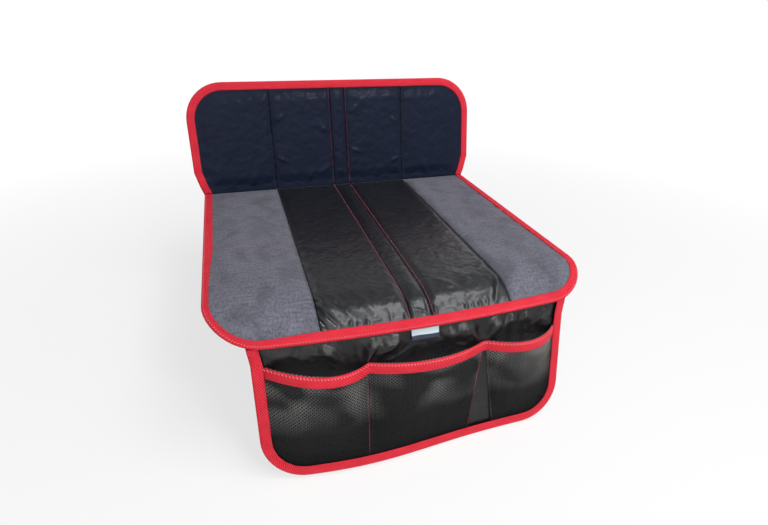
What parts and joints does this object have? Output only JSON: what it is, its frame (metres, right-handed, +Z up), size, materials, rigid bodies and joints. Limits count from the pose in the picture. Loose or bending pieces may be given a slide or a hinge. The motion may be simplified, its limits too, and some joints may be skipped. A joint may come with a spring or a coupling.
{
  "type": "car seat protector mat",
  "caption": "Padded protector mat for a car seat: quilted seat and back pads bound with woven tape, and a hanging front flap with net pockets.",
  "frame": {"origin": "middle of the seat pad's flat underside, half way between its hinge with the back pad and its front edge", "axes": "+Z up out of the seat pad's face, +Y towards the back pad, +X to the right of someone facing the seat"},
  "size_m": [0.5052, 0.5007, 0.3718],
  "materials": {
    "bolster_cloth": "brushed, matt",
    "black_leatherette": "smooth, semi-gloss",
    "red_tape": "woven, matt",
    "foam_padding": "open-cell foam",
    "non_slip_backing": "matt",
    "black_net": "knitted, matt",
    "woven_tag": "smooth, matt"
  },
  "bodies": {
    "root": {"seat_backing": "non_slip_backing", "seat_padding": "foam_padding", "seat_left_bolster": "bolster_cloth", "seat_left_panel": "black_leatherette", "seat_centre_strip": "black_leatherette", "seat_right_panel": "black_leatherette", "seat_right_bolster": "bolster_cloth", "seat_binding": "red_tape", "back_backing": "non_slip_backing", "back_padding": "foam_padding", "back_left_bolster": "black_leatherette", "back_left_panel": "black_leatherette", "back_centre_strip": "black_leatherette", "back_right_panel": "black_leatherette", "back_right_bolster": "black_leatherette", "back_binding": "red_tape", "flap_panel": "black_leatherette", "flap_binding": "red_tape", "pocket_net_left": "black_net", "pocket_net_middle": "black_net", "pocket_net_right": "black_net", "pocket_binding": "red_tape", "folded_tag": "woven_tag"}
  },
  "joints": []
}
